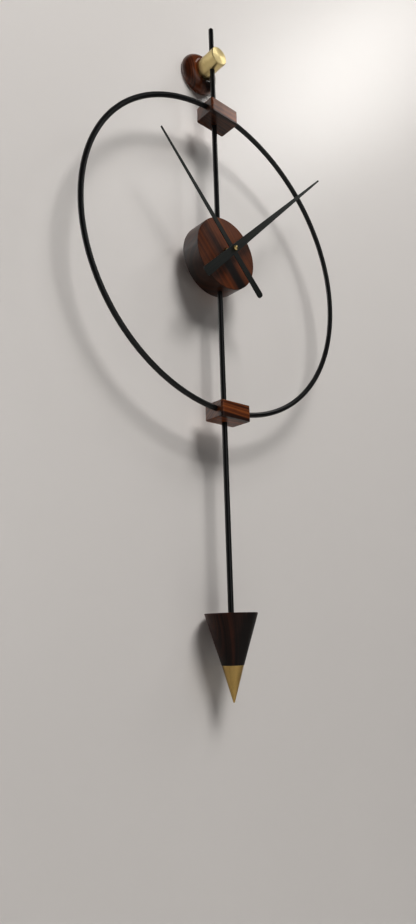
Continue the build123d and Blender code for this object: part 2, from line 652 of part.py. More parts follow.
BOARD_FRONT = BOARD_BACK - BOARD_T
with BuildPart() as driver_chip:
    with BuildSketch(facing(BOARD_FRONT)):
        with Locations((-20.0, -2.0)):
            Circle(3.2)
    extrude(amount=1.1)
    fillet(driver_chip.edges().sort_by(Axis.Y)[0], 0.9)
driver_chip.part.label = "driver_chip"
export_step(driver_chip.part, "parts/driver_chip.step")

with BuildPart() as quartz_crystal:
    with BuildSketch(Plane(origin=(-22.0, BOARD_FRONT - 1.55, RING_Z + 4.0))):
        Circle(1.5)
    extrude(amount=8.0)
    fillet(quartz_crystal.edges().filter_by(GeomType.CIRCLE), 0.3)
quartz_crystal.part.label = "quartz_crystal"
export_step(quartz_crystal.part, "parts/quartz_crystal.step")

STATOR_FRONT = 10.4
STATOR_T = 0.8
MAGNET_R = 2.4
COIL_Z = 22.5
CORE_LEFT = -10.5
CORE_RIGHT = 13.0
ARM_Z = (ROTOR_AT[1] + COIL_Z + 1.5) / 2
with BuildPart() as stator:
    with BuildSketch(facing(behind(STATOR_FRONT + STATOR_T))):
        with Locations(((CORE_LEFT + CORE_RIGHT) / 2, ROTOR_AT[1])):
            RectangleRounded(CORE_RIGHT - CORE_LEFT, 8.4, 1.5)
        with Locations((CORE_LEFT + 2.0, ARM_Z), (CORE_RIGHT - 2.0, ARM_Z)):
            Rectangle(4.0, COIL_Z + 1.5 - ROTOR_AT[1])
        with Locations(ROTOR_AT):
            Circle(MAGNET_R + 0.5, mode=Mode.SUBTRACT)
    extrude(amount=STATOR_T)
stator.part.label = "stator"
export_step(stator.part, "parts/stator.step")

CORE_C = STATOR_FRONT - STATOR_T
with BuildPart() as coil_core:
    with BuildSketch(facing(behind(STATOR_FRONT))):
        with Locations(((CORE_LEFT + CORE_RIGHT) / 2, COIL_Z)):
            Rectangle(CORE_RIGHT - CORE_LEFT, 2.6)
    extrude(amount=STATOR_T)
coil_core.part.label = "coil_core"
export_step(coil_core.part, "parts/coil_core.step")

COIL_R = 2.5
COIL_L = CORE_RIGHT - CORE_LEFT - 9.0
COIL_MID = (CORE_LEFT + CORE_RIGHT) / 2
with BuildPart() as coil:
    with BuildSketch(across(COIL_MID - COIL_L / 2, behind(CORE_C + STATOR_T / 2), RING_Z + COIL_Z)):
        Circle(COIL_R)
        Rectangle(STATOR_T + 0.1, 2.7, mode=Mode.SUBTRACT)
    extrude(amount=COIL_L)
coil.part.label = "coil"
export_step(coil.part, "parts/coil.step")

# ---------------------------------------------------------------- movement: wheels
MOTION_MODULE = module_of(MOTION_DISTANCE, MOTION_WHEEL_T, CANNON_T)
HOUR_MODULE = module_of(MOTION_DISTANCE, HOUR_WHEEL_T, MOTION_PINION_T)
CENTRE_MODULE = module_of(THIRD_DISTANCE, CENTRE_T, THIRD_PINION_T)
THIRD_MODULE = module_of(THIRD_DISTANCE, THIRD_WHEEL_T, SECONDS_PINION_T)
SECONDS_MODULE = module_of(FIFTH_DISTANCE, SECONDS_WHEEL_T, FIFTH_PINION_T)
FIFTH_MODULE = module_of(ROTOR_DISTANCE, FIFTH_WHEEL_T, ROTOR_PINION_T)
MOTION_PHASE = gap_at(MOTION_ANGLE, MOTION_WHEEL_T)
THIRD_PHASE = gap_at(THIRD_ANGLE, THIRD_WHEEL_T)
THIRD_PINION_PHASE = gap_at(THIRD_ANGLE, THIRD_PINION_T)
FIFTH_PINION_PHASE = gap_at(FIFTH_ANGLE, FIFTH_PINION_T)
ROTOR_PINION_PHASE = gap_at(ROTOR_ANGLE, ROTOR_PINION_T)

HOUR_WHEEL_BACK = behind(1.5)
with BuildPart() as hour_wheel:
    with BuildSketch(facing(HOUR_WHEEL_BACK)):
        with BuildLine():
            Polyline(*gear_points(HOUR_WHEEL_T, HOUR_MODULE, MOTION_ANGLE + 180 / HOUR_WHEEL_T), close=True)
        make_face()
    extrude(amount=1.2)
    with BuildSketch(facing(HOUR_WHEEL_BACK)):
        Circle(HOUR_TUBE_D / 2)
    extrude(amount=HOUR_WHEEL_BACK - HOUR_BACK)
    with BuildSketch(facing(HOUR_BACK)):
        Circle(HOUR_TUBE_D / 2 - 0.2)
    extrude(amount=HAND_T + 0.3)
    with BuildSketch(facing(HOUR_WHEEL_BACK)):
        Circle(MINUTE_ARBOR_D / 2 + FIT)
    extrude(amount=HOUR_WHEEL_BACK - HOUR_BACK + HAND_T + 0.3, mode=Mode.SUBTRACT)
hour_wheel.part.label = "hour_wheel"
export_step(hour_wheel.part, "parts/hour_wheel.step")

with BuildPart() as motion_wheel:
    with BuildSketch(facing(behind(2.9), MOTION_AT[0], RING_Z + MOTION_AT[1])):
        with BuildLine():
            Polyline(*gear_points(MOTION_WHEEL_T, MOTION_MODULE, MOTION_PHASE), close=True)
        make_face()
    extrude(amount=1.0)
    with BuildSketch(facing(behind(1.9), MOTION_AT[0], RING_Z + MOTION_AT[1])):
        with BuildLine():
            Polyline(*gear_points(MOTION_PINION_T, HOUR_MODULE, MOTION_ANGLE + 180, 0.36), close=True)
        make_face()
    extrude(amount=1.7)
    with BuildSketch(facing(behind(PLATE_FRONT - 0.1), MOTION_AT[0], RING_Z + MOTION_AT[1])):
        Circle(ARBOR_D / 2)
    extrude(amount=PLATE_FRONT - 0.2)
    with BuildSketch(facing(behind(PLATE_FRONT + 0.8), MOTION_AT[0], RING_Z + MOTION_AT[1])):
        Circle(PIVOT_D / 2)
    extrude(amount=PLATE_FRONT + 1.5)
motion_wheel.part.label = "motion_wheel"
export_step(motion_wheel.part, "parts/motion_wheel.step")

CENTRE_WHEEL_BACK = 5.4
ARBOR_REAR = 5.6
with BuildPart() as minute_arbor:
    with BuildSketch(facing(behind(ARBOR_REAR))):
        Circle(MINUTE_ARBOR_D / 2)
    extrude(amount=behind(ARBOR_REAR) - MINUTE_BACK)
    with BuildSketch(facing(MINUTE_BACK)):
        Circle(THREAD_TIP_D / 2)
    extrude(amount=HAND_T + 1.9)
    with BuildSketch(facing(behind(3.1))):
        with BuildLine():
            Polyline(*gear_points(CANNON_T, MOTION_MODULE, MOTION_ANGLE, 0.36), close=True)
        make_face()
    extrude(amount=1.4)
    with BuildSketch(facing(behind(ARBOR_REAR))):
        Circle(PIVOT_D / 2 + FIT)
    extrude(amount=1.6, mode=Mode.SUBTRACT)
minute_arbor.part.label = "minute_arbor"
export_step(minute_arbor.part, "parts/minute_arbor.step")

with BuildPart() as centre_wheel:
    with BuildSketch(facing(behind(CENTRE_WHEEL_BACK))):
        with BuildLine():
            Polyline(*gear_points(CENTRE_T, CENTRE_MODULE, THIRD_ANGLE), close=True)
        make_face()
        Circle(MINUTE_ARBOR_D / 2 + 0.02, mode=Mode.SUBTRACT)
        with Locations(*[polar(4.6, 36 + 72 * i) for i in range(5)]):
            Circle(1.6, mode=Mode.SUBTRACT)
    extrude(amount=0.7)
centre_wheel.part.label = "centre_wheel"
export_step(centre_wheel.part, "parts/centre_wheel.step")

with BuildPart() as set_knob:
    with BuildSketch(facing(behind(3.1), KNOB_AT[0], RING_Z + KNOB_AT[1])):
        with BuildLine():
            Polyline(*gear_points(KNOB_T, MOTION_MODULE, KNOB_ANGLE + 180, 0.36), close=True)
        make_face()
    extrude(amount=1.4)
    with BuildSketch(facing(CASE_BACK + 0.3, KNOB_AT[0], RING_Z + KNOB_AT[1])):
        Circle(1.5)
    extrude(amount=CASE_BACK + 0.3 - behind(1.7))
    with BuildSketch(facing(behind(1.8), KNOB_AT[0], RING_Z + KNOB_AT[1])):
        Circle(PIVOT_D / 2)
    extrude(amount=2.5)
    with BuildSketch(facing(CASE_BACK + 2.6, KNOB_AT[0], RING_Z + KNOB_AT[1])):
        Circle(5.0)
        with Locations(*[polar(5.1, 20 * i) for i in range(18)]):
            Circle(0.45, mode=Mode.SUBTRACT)
    extrude(amount=2.3)
    with BuildSketch(facing(CASE_BACK + 2.6, KNOB_AT[0], RING_Z + KNOB_AT[1])):
        SlotOverall(7.0, 1.4)
    extrude(amount=0.7, mode=Mode.SUBTRACT)
set_knob.part.label = "set_knob"
export_step(set_knob.part, "parts/set_knob.step")

BOSS_C = COVER_FRONT - 2.2 - CHAMBER
with BuildPart() as third_wheel:
    with BuildSketch(facing(behind(6.8), THIRD_AT[0], RING_Z + THIRD_AT[1])):
        with BuildLine():
            Polyline(*gear_points(THIRD_WHEEL_T, THIRD_MODULE, THIRD_PHASE), close=True)
        make_face()
    extrude(amount=0.7)
    with BuildSketch(facing(behind(6.2), THIRD_AT[0], RING_Z + THIRD_AT[1])):
        with BuildLine():
            Polyline(*gear_points(THIRD_PINION_T, CENTRE_MODULE, THIRD_PINION_PHASE, 0.36), close=True)
        make_face()
    extrude(amount=1.7)
    with BuildSketch(facing(behind(BOSS_C - 0.1), THIRD_AT[0], RING_Z + THIRD_AT[1])):
        Circle(ARBOR_D / 2)
    extrude(amount=BOSS_C - 0.1 - PLATE_FRONT - PLATE_T - 0.1)
    with BuildSketch(facing(behind(BOSS_C + 1.2), THIRD_AT[0], RING_Z + THIRD_AT[1])):
        Circle(PIVOT_D / 2)
    extrude(amount=BOSS_C + 1.2 - PLATE_FRONT - 0.1)
third_wheel.part.label = "third_wheel"
export_step(third_wheel.part, "parts/third_wheel.step")

with BuildPart() as seconds_wheel:
    with BuildSketch(facing(behind(8.2))):
        with BuildLine():
            Polyline(*gear_points(SECONDS_WHEEL_T, SECONDS_MODULE, FIFTH_ANGLE), close=True)
        make_face()
    extrude(amount=0.7)
    with BuildSketch(facing(behind(7.6))):
        with BuildLine():
            Polyline(*gear_points(SECONDS_PINION_T, THIRD_MODULE, THIRD_ANGLE, 0.36), close=True)
        make_face()
    extrude(amount=1.7)
    with BuildSketch(facing(behind(BOSS_C - 0.1))):
        Circle(ARBOR_D / 2)
    extrude(amount=BOSS_C - 0.1 - ARBOR_REAR - 0.1)
    with BuildSketch(facing(behind(BOSS_C + 1.2))):
        Circle(PIVOT_D / 2)
    extrude(amount=BOSS_C + 1.2 - ARBOR_REAR + 1.4)
seconds_wheel.part.label = "seconds_wheel"
export_step(seconds_wheel.part, "parts/seconds_wheel.step")

with BuildPart() as fifth_wheel:
    with BuildSketch(facing(behind(9.6), FIFTH_AT[0], RING_Z + FIFTH_AT[1])):
        with BuildLine():
            Polyline(*gear_points(FIFTH_WHEEL_T, FIFTH_MODULE, ROTOR_ANGLE), close=True)
        make_face()
    extrude(amount=0.6)
    with BuildSketch(facing(behind(9.0), FIFTH_AT[0], RING_Z + FIFTH_AT[1])):
        with BuildLine():
            Polyline(*gear_points(FIFTH_PINION_T, SECONDS_MODULE, FIFTH_PINION_PHASE, 0.36), close=True)
        make_face()
    extrude(amount=1.7)
    with BuildSketch(facing(behind(BOSS_C - 0.1), FIFTH_AT[0], RING_Z + FIFTH_AT[1])):
        Circle(ARBOR_D / 2)
    extrude(amount=BOSS_C - 0.1 - PLATE_FRONT - PLATE_T - 0.1)
    with BuildSketch(facing(behind(BOSS_C + 1.2), FIFTH_AT[0], RING_Z + FIFTH_AT[1])):
        Circle(PIVOT_D / 2)
    extrude(amount=BOSS_C + 1.2 - PLATE_FRONT - 0.1)
fifth_wheel.part.label = "fifth_wheel"
export_step(fifth_wheel.part, "parts/fifth_wheel.step")

ROTOR_BOSS_C = COVER_FRONT - 1.0 - CHAMBER
with BuildPart() as rotor:
    with BuildSketch(facing(behind(STATOR_FRONT + 1.2), ROTOR_AT[0], RING_Z + ROTOR_AT[1])):
        Circle(MAGNET_R)
    extrude(amount=1.6)
    with BuildSketch(facing(behind(STATOR_FRONT - 0.4), ROTOR_AT[0], RING_Z + ROTOR_AT[1])):
        with BuildLine():
            Polyline(*gear_points(ROTOR_PINION_T, FIFTH_MODULE, ROTOR_PINION_PHASE, 0.36), close=True)
        make_face()
    extrude(amount=1.3)
    with BuildSketch(facing(behind(ROTOR_BOSS_C - 0.1), ROTOR_AT[0], RING_Z + ROTOR_AT[1])):
        Circle(ARBOR_D / 2)
    extrude(amount=ROTOR_BOSS_C - 0.1 - PLATE_FRONT - PLATE_T - 0.1)
    with BuildSketch(facing(behind(ROTOR_BOSS_C + 1.0), ROTOR_AT[0], RING_Z + ROTOR_AT[1])):
        Circle(PIVOT_D / 2)
    extrude(amount=ROTOR_BOSS_C + 1.0 - PLATE_FRONT - 0.1)
rotor.part.label = "rotor"
export_step(rotor.part, "parts/rotor.step")


# ---------------------------------------------------------------- hands
def hand_plane(y, clock_angle):
    """Plane of a hand: local y runs from the pivot to the tip, normal faces out of the wall."""
    a = radians(clock_angle)
    return Plane(origin=(0, y, RING_Z), x_dir=(cos(a), 0, -sin(a)), z_dir=(0, -1, 0))


with BuildPart() as hour_hand:
    with BuildSketch(hand_plane(HOUR_BACK, HOUR_ANGLE)) as hour_outline:
        with BuildLine():
            Polyline(
                (-HOUR_TIP_W / 2, HOUR_TIP),
                (HOUR_TIP_W / 2, HOUR_TIP),
                (HOUR_TAIL_W / 2, -HOUR_TAIL),
                (-HOUR_TAIL_W / 2, -HOUR_TAIL),
                close=True,
            )
        make_face()
        fillet(hour_outline.vertices().group_by(Axis.Y)[0], HOUR_TAIL_W * 0.35)
        fillet(hour_outline.vertices().group_by(Axis.Y)[-1], HOUR_TIP_W * 0.4)
        Circle(HOUR_TUBE_D / 2 - 0.2 + 0.02, mode=Mode.SUBTRACT)
    extrude(amount=HAND_T)
hour_hand.part.label = "hour_hand"
export_step(hour_hand.part, "parts/hour_hand.step")

with BuildPart() as minute_hand:
    with BuildSketch(hand_plane(MINUTE_BACK, MINUTE_ANGLE)) as minute_outline:
        with BuildLine():
            Polyline(
                (-MINUTE_TIP_W / 2, MINUTE_TIP),
                (MINUTE_TIP_W / 2, MINUTE_TIP),
                (MINUTE_TAIL_W / 2, -MINUTE_TAIL),
                (-MINUTE_TAIL_W / 2, -MINUTE_TAIL),
                close=True,
            )
        make_face()
        fillet(minute_outline.vertices().group_by(Axis.Y)[0], MINUTE_TAIL_W * 0.3)
        fillet(minute_outline.vertices().group_by(Axis.Y)[-1], MINUTE_TIP_W * 0.4)
        Circle(THREAD_TIP_D / 2 + 0.02, mode=Mode.SUBTRACT)
    extrude(amount=HAND_T)
minute_hand.part.label = "minute_hand"
export_step(minute_hand.part, "parts/minute_hand.step")

CAP_BACK = MINUTE_BACK - HAND_T
with BuildPart() as cap_nut:
    with BuildSketch(facing(CAP_BACK)):
        Circle(CAP_NUT_D / 2)
    extrude(amount=CAP_NUT_H)
    fillet(cap_nut.edges().filter_by(GeomType.CIRCLE).sort_by(Axis.Y)[0], CAP_NUT_H * 0.7)
    with BuildSketch(facing(CAP_BACK)):
        Circle(THREAD_TIP_D / 2 + 0.02)
    extrude(amount=2.1, mode=Mode.SUBTRACT)
cap_nut.part.label = "cap_nut"
export_step(cap_nut.part, "parts/cap_nut.step")
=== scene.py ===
"""Looks for the pendulum wall clock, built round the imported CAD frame. Metres, +Y into the wall."""

import math

import bmesh
import bpy
from mathutils import Matrix, Vector


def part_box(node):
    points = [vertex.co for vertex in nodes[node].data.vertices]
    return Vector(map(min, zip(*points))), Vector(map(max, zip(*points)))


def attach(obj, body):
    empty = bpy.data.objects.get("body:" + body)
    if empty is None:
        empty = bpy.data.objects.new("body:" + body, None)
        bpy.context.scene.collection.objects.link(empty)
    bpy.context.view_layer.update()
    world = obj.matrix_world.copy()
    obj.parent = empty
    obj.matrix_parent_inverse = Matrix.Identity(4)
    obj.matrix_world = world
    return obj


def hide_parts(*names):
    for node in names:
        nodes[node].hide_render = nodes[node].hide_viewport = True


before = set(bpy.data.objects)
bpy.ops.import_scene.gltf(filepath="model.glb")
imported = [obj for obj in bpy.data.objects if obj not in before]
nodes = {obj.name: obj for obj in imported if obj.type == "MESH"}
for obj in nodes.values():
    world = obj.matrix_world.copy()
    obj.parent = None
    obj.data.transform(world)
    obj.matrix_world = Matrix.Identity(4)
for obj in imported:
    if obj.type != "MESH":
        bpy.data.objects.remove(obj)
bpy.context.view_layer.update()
scene = bpy.context.scene

# ------------------------------------------------------------------ camera
CAMERA_AT = Vector((-0.5253, -0.5927, -0.7227))
YAW, PITCH, ROLL = 0.7260, 0.232799, -0.028691      # radians: right of +Y, up, and about the view
LENS_MM = 27.039                                    # on the sensor's long side
SENSOR_MM = 36
NEAR, FAR = 0.05, 30

ahead = Vector((math.sin(YAW) * math.cos(PITCH), math.cos(YAW) * math.cos(PITCH), math.sin(PITCH)))
level_right = Vector((math.cos(YAW), -math.sin(YAW), 0))
level_up = level_right.cross(ahead)
right = math.cos(ROLL) * level_right + math.sin(ROLL) * level_up
up = -math.sin(ROLL) * level_right + math.cos(ROLL) * level_up

lens = bpy.data.cameras.new("camera")
lens.sensor_width = SENSOR_MM
lens.lens = LENS_MM
lens.clip_start = NEAR
lens.clip_end = FAR
camera = bpy.data.objects.new("camera", lens)
scene.collection.objects.link(camera)
scene.camera = camera
turn = Matrix((right, up, -ahead)).transposed()
camera.matrix_world = Matrix.Translation(CAMERA_AT) @ turn.to_4x4()


# ------------------------------------------------------------------ node helpers
def toned(colour, factor, lift=0.0):
    return tuple(min(1.0, c * factor + lift) for c in colour)


class Graph:
    """A material's node tree, built by short calls that return output sockets."""

    def __init__(self, name):
        self.mat = bpy.data.materials.new(name)
        self.mat.use_nodes = True
        self.tree = self.mat.node_tree
        self.tree.nodes.clear()
        self.out = self.add("OutputMaterial")
        self.shader = self.add("BsdfPrincipled")
        self.tree.links.new(self.shader.outputs[0], self.out.inputs[0])
        where = self.add("TexCoord")
        self.coords = where.outputs["Object"]
        self.facing = where.outputs["Normal"]

    def add(self, kind):
        return self.tree.nodes.new("ShaderNode" + kind)

    def put(self, node, key, value):
        if value is None:
            return
        if isinstance(value, bpy.types.NodeSocket):
            self.tree.links.new(value, node.inputs[key])
        else:
            node.inputs[key].default_value = value

    def set(self, **values):
        """Sockets of the main shader, with _ for each space in a name."""
        for key, value in values.items():
            self.put(self.shader, key.replace("_", " "), value)

    def calc(self, op, a, b=None, c=None, clamp=False):
        n = self.add("Math")
        n.operation = op
        n.use_clamp = clamp
        for i, v in enumerate((a, b, c)):
            self.put(n, i, v)
        return n.outputs[0]

    def plus(self, a, b):
        return self.calc("ADD", a, b)

    def minus(self, a, b):
        return self.calc("SUBTRACT", a, b)

    def times(self, a, b):
        return self.calc("MULTIPLY", a, b)

    def scaled(self, value, factor, start):
        """start + factor * value"""
        return self.calc("MULTIPLY_ADD", value, factor, start)

    def swing(self, value, weight):
        """A 0 to 1 value as a weighted swing about zero."""
        return self.times(self.minus(value, 0.5), weight)

    def hypot(self, a, b):
        return self.calc("SQRT", self.plus(self.times(a, a), self.times(b, b)))

    def vector_calc(self, op, a, b, out="Vector"):
        n = self.add("VectorMath")
        n.operation = op
        self.put(n, 0, a)
        self.put(n, 1, b)
        return n.outputs[out]

    def mapping(self, vector, scale=(1, 1, 1), rotation=(0, 0, 0), location=(0, 0, 0)):
        n = self.add("Mapping")
        self.put(n, "Vector", vector)
        self.put(n, "Scale", scale)
        self.put(n, "Rotation", rotation)
        self.put(n, "Location", location)
        return n.outputs[0]

    def split(self, vector):
        n = self.add("SeparateXYZ")
        self.put(n, 0, vector)
        return n.outputs

    def join(self, x, y, z=0.0):
        n = self.add("CombineXYZ")
        for i, v in enumerate((x, y, z)):
            self.put(n, i, v)
        return n.outputs[0]

    def noise(self, vector, scale=1.0, detail=4.0, rough=0.5):
        n = self.add("TexNoise")
        self.put(n, "Vector", vector)
        self.put(n, "Scale", scale)
        self.put(n, "Detail", detail)
        self.put(n, "Roughness", rough)
        return n.outputs["Fac"]

    def voronoi(self, vector, scale=1.0, feature="F1"):
        n = self.add("TexVoronoi")
        n.feature = feature
        self.put(n, "Vector", vector)
        self.put(n, "Scale", scale)
        return n.outputs["Distance"]

    def ramp(self, value, stops):
        n = self.add("ValToRGB")
        slots = n.color_ramp.elements
        while len(slots) < len(stops):
            slots.new(0.5)
        for slot, (at, colour) in zip(slots, stops):
            slot.position = at
            slot.color = (*colour, 1)
        self.put(n, 0, value)
        return n.outputs[0]

    def band(self, value, low, high, to_low=0.0, to_high=1.0):
        """A smooth step from to_low at low to to_high at high."""
        n = self.add("MapRange")
        n.interpolation_type = "SMOOTHSTEP"
        self.put(n, "Value", value)
        self.put(n, "From Min", low)
        self.put(n, "From Max", high)
        self.put(n, "To Min", to_low)
        self.put(n, "To Max", to_high)
        return n.outputs[0]

    def mix(self, share, a, b, blend="MIX"):
        n = self.add("Mix")
        n.data_type = "RGBA"
        n.blend_type = blend
        self.put(n, 0, share)
        self.put(n, 6, (*a, 1) if isinstance(a, tuple) else a)
        self.put(n, 7, (*b, 1) if isinstance(b, tuple) else b)
        return n.outputs[2]

    def bump(self, height, distance, strength):
        n = self.add("Bump")
        self.put(n, "Height", height)
        self.put(n, "Distance", distance)
        self.put(n, "Strength", strength)
        return n.outputs[0]

    def edge_mask(self, radius, amount, low=0.02, high=0.3):
        """0 on flats, up to the amount on edges sharper than the radius."""
        bevel = self.add("Bevel")
        bevel.samples = 4
        self.put(bevel, "Radius", radius)
        flat = self.add("NewGeometry").outputs["Normal"]
        same = self.vector_calc("DOT_PRODUCT", bevel.outputs[0], flat, "Value")
        bent = self.calc("SUBTRACT", 1.0, same, clamp=True)
        return self.times(self.band(bent, low, high), amount)

    def radial(self, centre, axis):
        """Distance from the axis through the centre, angle round it, and position along it."""
        x, y, z = self.split(self.vector_calc("SUBTRACT", self.coords, centre))
        a, b, along = {"Y": (x, z, y), "Z": (x, y, z)}[axis]
        return self.hypot(a, b), self.calc("ARCTAN2", b, a), along


def dress(material, *names):
    for name in names:
        data = nodes[name].data
        data.materials.clear()
        data.materials.append(material)


def centre_of(name):
    low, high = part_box(name)
    return (Vector(low) + Vector(high)) / 2


# ------------------------------------------------------------------ wood
# Cycles per metre across and along the grain, in the board's own frame.
DRIFT = (14, 14, 2.5)
SWAY = (70, 70, 9)
FIGURE = (30, 30, 55)
FIBRE = (3200, 3200, 90)
PORES = (1100, 1100, 45)
RINGS = (300.0, 3.0)
FINE_RINGS = (1300.0, 9.0)
RING_BEND = (0.024, 0.0030)       # metres by which drift and sway push the rings out
FACE_TURN = (0.3, 0.7)            # where a face stops counting as a side and counts as an end
ALL_LENGTH = (1, 2)               # a dark streak that never fades


def wood(name, colours, turned, shift=(0.0, 0.0, 0.0), *, pith, dark_streak, lines=1.0,
         shade=(1, 1.0, 1.0), gloss=0.34, coat=0.3):
    """Lacquered solid wood with its grain along the board's Z.

    colours are light, mid and dark. turned and shift take the row frame to the board's own frame, and
    pith is where the rings centre in it. The dark streak argument is x, y, radius, the z where it is
    full and the z where it is gone; the streak runs with the grain. shade is painted light and shade by
    which way a face looks: an axis, the tone of the faces that lie along it and the tone of the faces that
    look along it.
    """
    light, mid, dark = colours
    g = Graph(name)
    board = g.mapping(g.coords, rotation=turned, location=shift)
    drift = g.noise(g.mapping(board, scale=DRIFT), detail=2.0)
    sway = g.noise(g.mapping(board, scale=SWAY), detail=2.0)
    fibre = g.noise(g.mapping(board, scale=FIBRE), detail=2.0, rough=0.6)
    figure = g.noise(g.mapping(board, scale=FIGURE), detail=3.0, rough=0.55)

    x, y, z = g.split(board)
    from_pith = g.hypot(g.minus(x, pith[0]), g.minus(y, pith[1]))
    bend = g.scaled(drift, RING_BEND[0], g.times(sway, RING_BEND[1]))
    from_pith = g.plus(from_pith, bend)
    across, along = RINGS
    rings = g.noise(g.join(g.times(from_pith, across), g.times(z, along)), detail=2.0, rough=0.55)
    across, along = FINE_RINGS
    fine = g.noise(g.join(g.times(from_pith, across), g.times(z, along), 5.0), detail=2.0, rough=0.6)

    tone = g.scaled(g.minus(drift, 0.5), 0.9, 0.5)
    for layer, weight in ((rings, 1.25 * lines), (fine, 0.45 * lines), (fibre, 0.22), (figure, 0.25)):
        tone = g.plus(tone, g.swing(layer, weight))
    colour = g.ramp(tone, [(0.24, dark), (0.46, mid), (0.72, light)])

    # One dark streak runs with the grain; on the blocks it is heartwood, on the rosette and the cone it is
    # painted shade.
    streak_x, streak_y, radius, full, gone = dark_streak
    away = g.hypot(g.minus(x, streak_x), g.minus(y, streak_y))
    away = g.plus(away, g.swing(sway, 0.5 * radius))
    away = g.plus(away, g.swing(rings, 0.7 * radius))
    inside = g.band(away, 0.45 * radius, 1.2 * radius, 0.92, 0.0)
    inside = g.times(inside, g.band(z, full, gone, 1.0, 0.0))
    colour = g.mix(inside, colour, dark)

    # Painted light and shade: each face's colour is scaled by which way it looks, standing in for how the
    # lamps fall on it.
    axis, side_tone, end_tone = shade
    looks = g.calc("ABSOLUTE", g.split(g.facing)[axis])
    colour = g.mix(1.0, colour, g.band(looks, *FACE_TURN, side_tone, end_tone), "MULTIPLY")

    cells = g.voronoi(g.mapping(board, scale=PORES))
    pore = g.times(g.band(cells, 0.10, 0.26, 1.0, 0.0), g.band(fine, 0.35, 0.6, 1.0, 0.2))
    colour = g.mix(g.times(pore, 0.6), colour, dark)
    colour = g.mix(g.edge_mask(0.0008, 0.3, 0.01, 0.2), colour, toned(light, 1.5, 0.012))
    g.set(
        Base_Color=colour,
        Roughness=g.scaled(rings, 0.16, gloss),
        Normal=g.bump(g.minus(g.times(fibre, 0.3), pore), 0.00004, 0.5),
        Specular_IOR_Level=0.22,
        Coat_Weight=coat,
        Coat_Roughness=0.2,
        Coat_IOR=1.45,
    )
    return g.mat


# ------------------------------------------------------------------ metal
def turned_brass(name, centre, axis, colour, dull, rough=0.30, lathe=0.00016, stain=0.55):
    """Brass with lathe marks that far apart round an axis, soft tarnish and brighter edges."""
    g = Graph(name)
    r, angle, along = g.radial(centre, axis)
    sweep = g.times(angle, 0.6)
    on_side = g.noise(g.join(g.times(along, 1 / lathe), sweep), detail=2.0)
    on_face = g.noise(g.join(g.times(r, 1 / lathe), sweep, 3.0), detail=2.0)
    marks = g.scaled(on_face, 0.5, g.times(on_side, 0.5))
    cloud = g.noise(g.coords, 55.0, 5.0, 0.6)
    spots = g.noise(g.coords, 420.0, 3.0, 0.6)
    tarnish = g.times(g.band(cloud, 0.42, 0.72), stain)
    tarnish = g.plus(tarnish, g.times(g.band(spots, 0.60, 0.75), 0.18))
    base = g.mix(tarnish, colour, dull)
    base = g.mix(g.edge_mask(0.0005, 0.5), base, (0.80, 0.68, 0.40))
    g.set(
        Base_Color=base,
        Metallic=1.0,
        Roughness=g.plus(g.scaled(marks, 0.14, rough - 0.07), g.times(tarnish, 0.12)),
        Normal=g.bump(marks, 0.000012, 0.7),
        Anisotropic=0.6,
        Anisotropic_Rotation=0.25,
    )
    tangent = g.add("Tangent")
    tangent.direction_type = "RADIAL"
    tangent.axis = axis
    g.put(g.shader, "Tangent", tangent.outputs[0])
    return g.mat


def enamel(name):
    """Black sprayed paint: orange peel, faint dust and paler rubbed edges."""
    black = (0.0022, 0.0022, 0.0024)
    g = Graph(name)
    peel = g.noise(g.coords, 900.0, 2.0)
    cloud = g.noise(g.coords, 22.0, 5.0, 0.62)
    dust = g.times(g.band(g.noise(g.coords, 2400.0, 2.0), 0.62, 0.76), 0.35)
    colour = g.mix(g.band(cloud, 0.35, 0.75), black, toned(black, 1.9))
    colour = g.mix(dust, colour, (0.018, 0.018, 0.017))
    colour = g.mix(g.edge_mask(0.0005, 0.5, 0.03), colour, (0.03, 0.03, 0.031))
    g.set(
        Base_Color=colour,
        Roughness=g.scaled(cloud, 0.16, 0.30),
        Normal=g.bump(peel, 0.00004, 0.35),
        Specular_IOR_Level=0.4,
        Coat_Weight=0.15,
        Coat_Roughness=0.15,
    )
    return g.mat


def brushed(name, degrees):
    """Charcoal sheet brushed along one direction in the clock's face, that far round from upright, with a
    painted highlight on its edges.
    """
    base = (0.032, 0.035, 0.033)
    g = Graph(name)
    sheet = g.mapping(g.coords, rotation=(0, math.radians(degrees), 0))
    strokes = g.noise(g.mapping(sheet, scale=(2600.0, 2600.0, 35)), detail=3.0, rough=0.6)
    cloud = g.noise(sheet, 26.0, 4.0, 0.6)
    colour = g.mix(g.band(strokes, 0.3, 0.75), toned(base, 0.72), toned(base, 1.30))
    colour = g.mix(g.times(cloud, 0.35), colour, toned(base, 0.6))
    # Painted highlight: the edges are drawn 2.4 times lighter, as light caught on them.
    colour = g.mix(g.edge_mask(0.0004, 0.35), colour, toned(base, 2.4))
    g.set(
        Base_Color=colour,
        Metallic=0.85,
        Roughness=g.scaled(strokes, 0.20, 0.32),
        Normal=g.bump(strokes, 0.00001, 0.6),
    )
    return g.mat


def worn_metal(name, base, rough, centre=(0, 0, 0), pitch=None):
    """Machined or plated metal; with a pitch, a fine thread shows as ridges along Y."""
    g = Graph(name)
    cloud = g.noise(g.coords, 160.0, 5.0, 0.65)
    colour = g.mix(g.band(cloud, 0.35, 0.7), toned(base, 0.7), toned(base, 1.15))
    colour = g.mix(g.edge_mask(0.0004, 0.5), colour, toned(base, 1.8, 0.03))
    height = g.times(g.noise(g.coords, 1500.0, 2.0), 0.05)
    depth = 0.00002
    if pitch:
        _, angle, along = g.radial(centre, "Y")
        turns = g.plus(g.calc("DIVIDE", along, pitch), g.calc("DIVIDE", angle, 2 * math.pi))
        height = g.plus(height, g.times(g.calc("PINGPONG", turns, 0.5), 2.0))
        depth = 0.00015
    g.set(
        Base_Color=colour,
        Metallic=1.0,
        Roughness=g.scaled(cloud, 0.2, rough - 0.08),
        Normal=g.bump(height, depth, 0.8),
    )
    return g.mat


